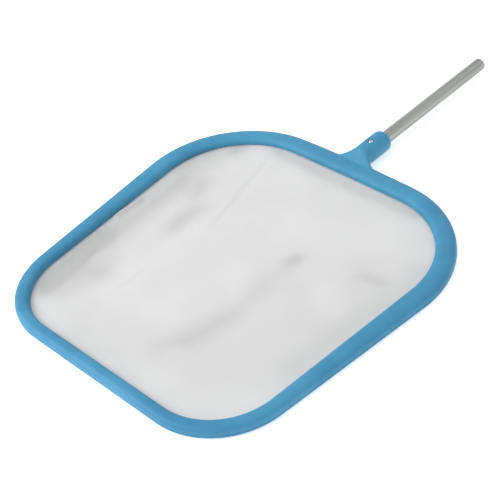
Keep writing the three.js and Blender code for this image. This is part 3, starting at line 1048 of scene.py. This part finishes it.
ALONG_Y = Matrix.Translation((0, 0, AXIS_HEIGHT)) @ Matrix.Rotation(-math.pi / 2, 4, "X")
TUBE_STEPS = 96
TUBE_ROWS = 10  # along it, inside and outside
TUBE_END_LENGTH = 6  # beyond these rows at both ends
TUBE_CHAMFER = 0.35  # at its end in the socket
TUBE_ROUND = 0.5  # at its open end
TUBE_BORE_CHAMFER = 0.3
TUBE_HOLE_GAP = 0.25  # round a button


def button_cutter(radius, low=CUT_LOW, high=CUT_HIGH):
    """An upright cylinder on the buttons' axis, to cut with."""
    points, faces = lathe(cylinder(radius, low, high), steps=48)
    return piece("cutter", [(x, y + BUTTON_Y, z) for x, y, z in points], faces, None)


def pole_tube(material):
    """A section of tube with a round edge at its open end and a hole for both buttons."""
    r, bore = TUBE_RADIUS, TUBE_RADIUS - TUBE_WALL
    low, high = TUBE_LOW.y, TUBE_HIGH.y
    rows = np.linspace(low + TUBE_END_LENGTH, high - TUBE_END_LENGTH, TUBE_ROWS)
    chamfer, edge, inside = TUBE_CHAMFER, TUBE_ROUND, TUBE_BORE_CHAMFER
    profile = [(r - chamfer, low), (r, low + chamfer)]
    profile += [(r, y) for y in rows]
    profile += [(r, high - edge), (r - 0.3 * edge, high - 0.3 * edge), (r - edge, high)]
    profile += [(bore + inside, high), (bore, high - inside)]
    profile += [(bore, y) for y in reversed(rows)]
    profile += [(bore, low + inside), (bore + inside, low)]
    points, faces = lathe(profile, TUBE_STEPS, closed=True)
    obj = piece("pole_section", moved(points, ALONG_Y), faces, material)
    hole = button_cutter(BUTTON_RADIUS + TUBE_HOLE_GAP)
    return shade_by_angle(cut(obj, [hole]), degrees=30)


CLIP_THICKNESS = 0.6
CLIP_CORNER = 0.2  # the rounding of the strip's long edges
CLIP_TAIL_HOLE = 1.8
CLIP_LOW, CLIP_HIGH = node_box("spring_clip")
BOW_REACH = 9  # from the buttons' axis to where the legs start to close
BOW_STEPS = 12
BOW_POWERS = (0.9, 1.2)  # how full the bow is, across and along
BOW_GAP = 0.01  # half the gap between the legs where they meet


def clip_line(direction):
    """The middle of one leg as (y, height above the axis), from its free end to the bow's middle."""
    leg = (CLIP_HIGH.z - CLIP_LOW.z) / 2 - CLIP_THICKNESS / 2
    bow_start, bow_end = BUTTON_Y + BOW_REACH, CLIP_HIGH.y - CLIP_THICKNESS / 2
    line = [(CLIP_LOW.y, leg)]
    line += [(y, leg) for y in np.linspace(CLIP_LOW.y + 1, bow_start, BOW_STEPS)]
    for c, s in quarter_turn(BOW_STEPS):
        height = max(leg * c ** BOW_POWERS[0], BOW_GAP)
        line.append((mix(bow_start, bow_end, s ** BOW_POWERS[1]), height))
    return [Vector((y, direction * height)) for y, height in line]


def clip_section():
    """The strip's section with rounded edges, as (across, outward)."""
    wide = (CLIP_HIGH.x - CLIP_LOW.x) / 2 - CLIP_CORNER
    thick = CLIP_THICKNESS / 2 - CLIP_CORNER
    section = []
    for x, out in ((1, -1), (1, 1), (-1, 1), (-1, -1)):
        for k in range(4):
            angle = math.atan2(out, x) + math.radians(-45 + 30 * k)
            dx, dz = CLIP_CORNER * math.cos(angle), CLIP_CORNER * math.sin(angle)
            section.append((x * wide + dx, out * thick + dz))
    return section


def clip_leg(name, direction, material):
    """One leg of the U of spring steel, with half of its bow and a hole for a button's tail."""
    line = clip_line(direction)
    section = clip_section()
    n = len(section)
    points = []
    for k, p in enumerate(line):
        along = Vector((0, -direction))
        if k + 1 < len(line):
            along = (line[k + 1] - line[max(k - 1, 0)]).normalized()
        normal = Vector((-along.y, along.x)) * direction
        for x, out in section:
            points.append((x, p.x + normal.x * out, AXIS_HEIGHT + p.y + normal.y * out))
    faces = []
    for k in range(len(line) - 1):
        for i in range(n):
            j = (i + 1) % n
            faces.append((k * n + i, k * n + j, (k + 1) * n + j, (k + 1) * n + i))
    faces += [tuple(range(n)), tuple(range((len(line) - 1) * n, len(line) * n))]
    obj = piece(name, points, faces, material)
    outward_normals(obj)
    beyond = AXIS_HEIGHT + direction * 2 * TUBE_RADIUS
    hole = button_cutter(CLIP_TAIL_HOLE, AXIS_HEIGHT, beyond)
    outward_normals(hole)
    return shade_by_angle(cut(obj, [hole]), degrees=35)


def outward_normals(obj):
    mesh = bmesh.new()
    mesh.from_mesh(obj.data)
    bmesh.ops.recalc_face_normals(mesh, faces=mesh.faces)
    mesh.to_mesh(obj.data)
    mesh.free()


TAIL_RADIUS = 1.5
TAIL_LENGTH = 1.4
BUTTON_EDGE = 0.2
DOME_HEIGHT = 1.7
DOME_POWER = 0.8
DOME_STEPS = 12


def snap_button(name, direction, material):
    """A turned button: a domed crown, a flange on the clip, and a tail through its hole."""
    r = BUTTON_RADIUS
    crown = BUTTON_HIGH.z - AXIS_HEIGHT
    tail_end = BUTTON_LOW.z - AXIS_HEIGHT
    tail, edge = TAIL_RADIUS, BUTTON_EDGE
    seat = tail_end + TAIL_LENGTH
    side_top = crown - DOME_HEIGHT
    profile = [(0, tail_end), (tail - edge, tail_end), (tail, tail_end + edge), (tail, seat)]
    profile += [(r - edge, seat), (r, seat + edge)]
    profile += [(r, z) for z in np.linspace(seat + 3 * edge, side_top, 4)]
    for c, s in quarter_turn(DOME_STEPS)[:-1]:
        profile.append((r * c ** DOME_POWER, side_top + DOME_HEIGHT * s))
    profile.append((0, crown))
    points, faces = lathe(profile, steps=48)
    place = Matrix.Translation((0, BUTTON_Y, AXIS_HEIGHT))
    if direction < 0:
        place = place @ Matrix.Rotation(math.pi, 4, "X")
    return shade_by_angle(piece(name, moved(points, place), faces, material), degrees=35)


# ---- stage ----

FLOOR_REACH = 6
FLOOR_GLOW = 0.45
SKY_STRENGTH = 0.82
KEY_SIZE = 2.4
KEY_ENERGY = 58
KEY_PLACE = (-1.5, -1.8, 1.9)
KEY_AIM = (0, -0.1, 0)
# The camera's lens, place, aim and roll, as found from the rim's outline.
LENS = 86.47
SENSOR_WIDTH = 36
CAMERA_PLACE = (0.7930, -0.7317, 0.8732)
CAMERA_AIM = (0.0008, -0.0964, 0.0068)
CAMERA_ROLL = -10.76


def studio():
    """A pale floor under a pale sky, and a wide soft key light from the front left."""
    mesh = bpy.data.meshes.new("floor")
    corners = [(-1, -1), (1, -1), (1, 1), (-1, 1)]
    mesh.from_pydata([(x * FLOOR_REACH, y * FLOOR_REACH, 0) for x, y in corners], [], [(0, 1, 2, 3)])
    floor = placed("floor", mesh)
    n = Nodes("floor")
    n.set(base_color=srgb(242, 242, 242), roughness=0.9)
    n.set(emission_color=(1, 1, 1, 1), emission_strength=FLOOR_GLOW)
    floor.data.materials.append(n.material)

    world = bpy.data.worlds.new("studio")
    world.use_nodes = True
    sky = world.node_tree.nodes["Background"].inputs
    sky["Color"].default_value = (1, 1, 1, 1)
    sky["Strength"].default_value = SKY_STRENGTH
    bpy.context.scene.world = world

    key = bpy.data.lights.new("key", "AREA")
    key.shape = "DISK"
    key.size = KEY_SIZE
    key.energy = KEY_ENERGY
    placed("key", key, KEY_PLACE, KEY_AIM)
    bpy.context.scene.view_settings.view_transform = "Standard"


def camera():
    """The camera, at the photo's angle and framing."""
    data = bpy.data.cameras.new("camera")
    data.lens = LENS
    data.sensor_width = SENSOR_WIDTH
    bpy.context.scene.camera = placed("camera", data, CAMERA_PLACE, CAMERA_AIM, CAMERA_ROLL)


# ---- build ----

camera()
studio()

plastic = blue_plastic()
cloth = net_fabric()
cord_cloth = cord_fabric()
aluminium = tube_aluminium()
clip_steel = bright_steel("clip_steel", 0.2, 0.3)
screw_steel = bright_steel("screw_steel", 0.28, 0.4)


def install(obj, body, slot, *nodes):
    """Puts a finished piece on its body, in place of its CAD nodes."""
    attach(obj, body)
    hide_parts(*nodes)
    return obj


install(upper_frame(plastic), "frame", "blue_plastic", "upper_frame")
ring = install(clamping_ring(plastic), "frame", "blue_plastic", "clamping_ring")
sheet, flat_size, flat_area = net(cloth)
install(sheet, "frame", "net_fabric", "net")
cord = install(edge_cord(cord_cloth), "frame", "cord_fabric", "net_edge_cord")
install(pole_tube(aluminium), "frame", "tube_aluminium", "pole_tube")
for side, direction in (("top", 1), ("bottom", -1)):
    body = f"{side}_button"
    button = snap_button(f"button_{side}", direction, clip_steel)
    install(button, body, "clip_steel", f"snap_button_{side}")
    leg = clip_leg(f"clip_leg_{side}", direction, clip_steel)
    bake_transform(leg)
    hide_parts("spring_clip")
for i, (x, y) in enumerate(screw_places()):
    number = f"{i + 1:02d}"
    fastener = screw(f"screw_{number}", x, y, i * SCREW_TURN, screw_steel)
    install(fastener, "frame", "screw_steel", f"ring_screw_{number}")
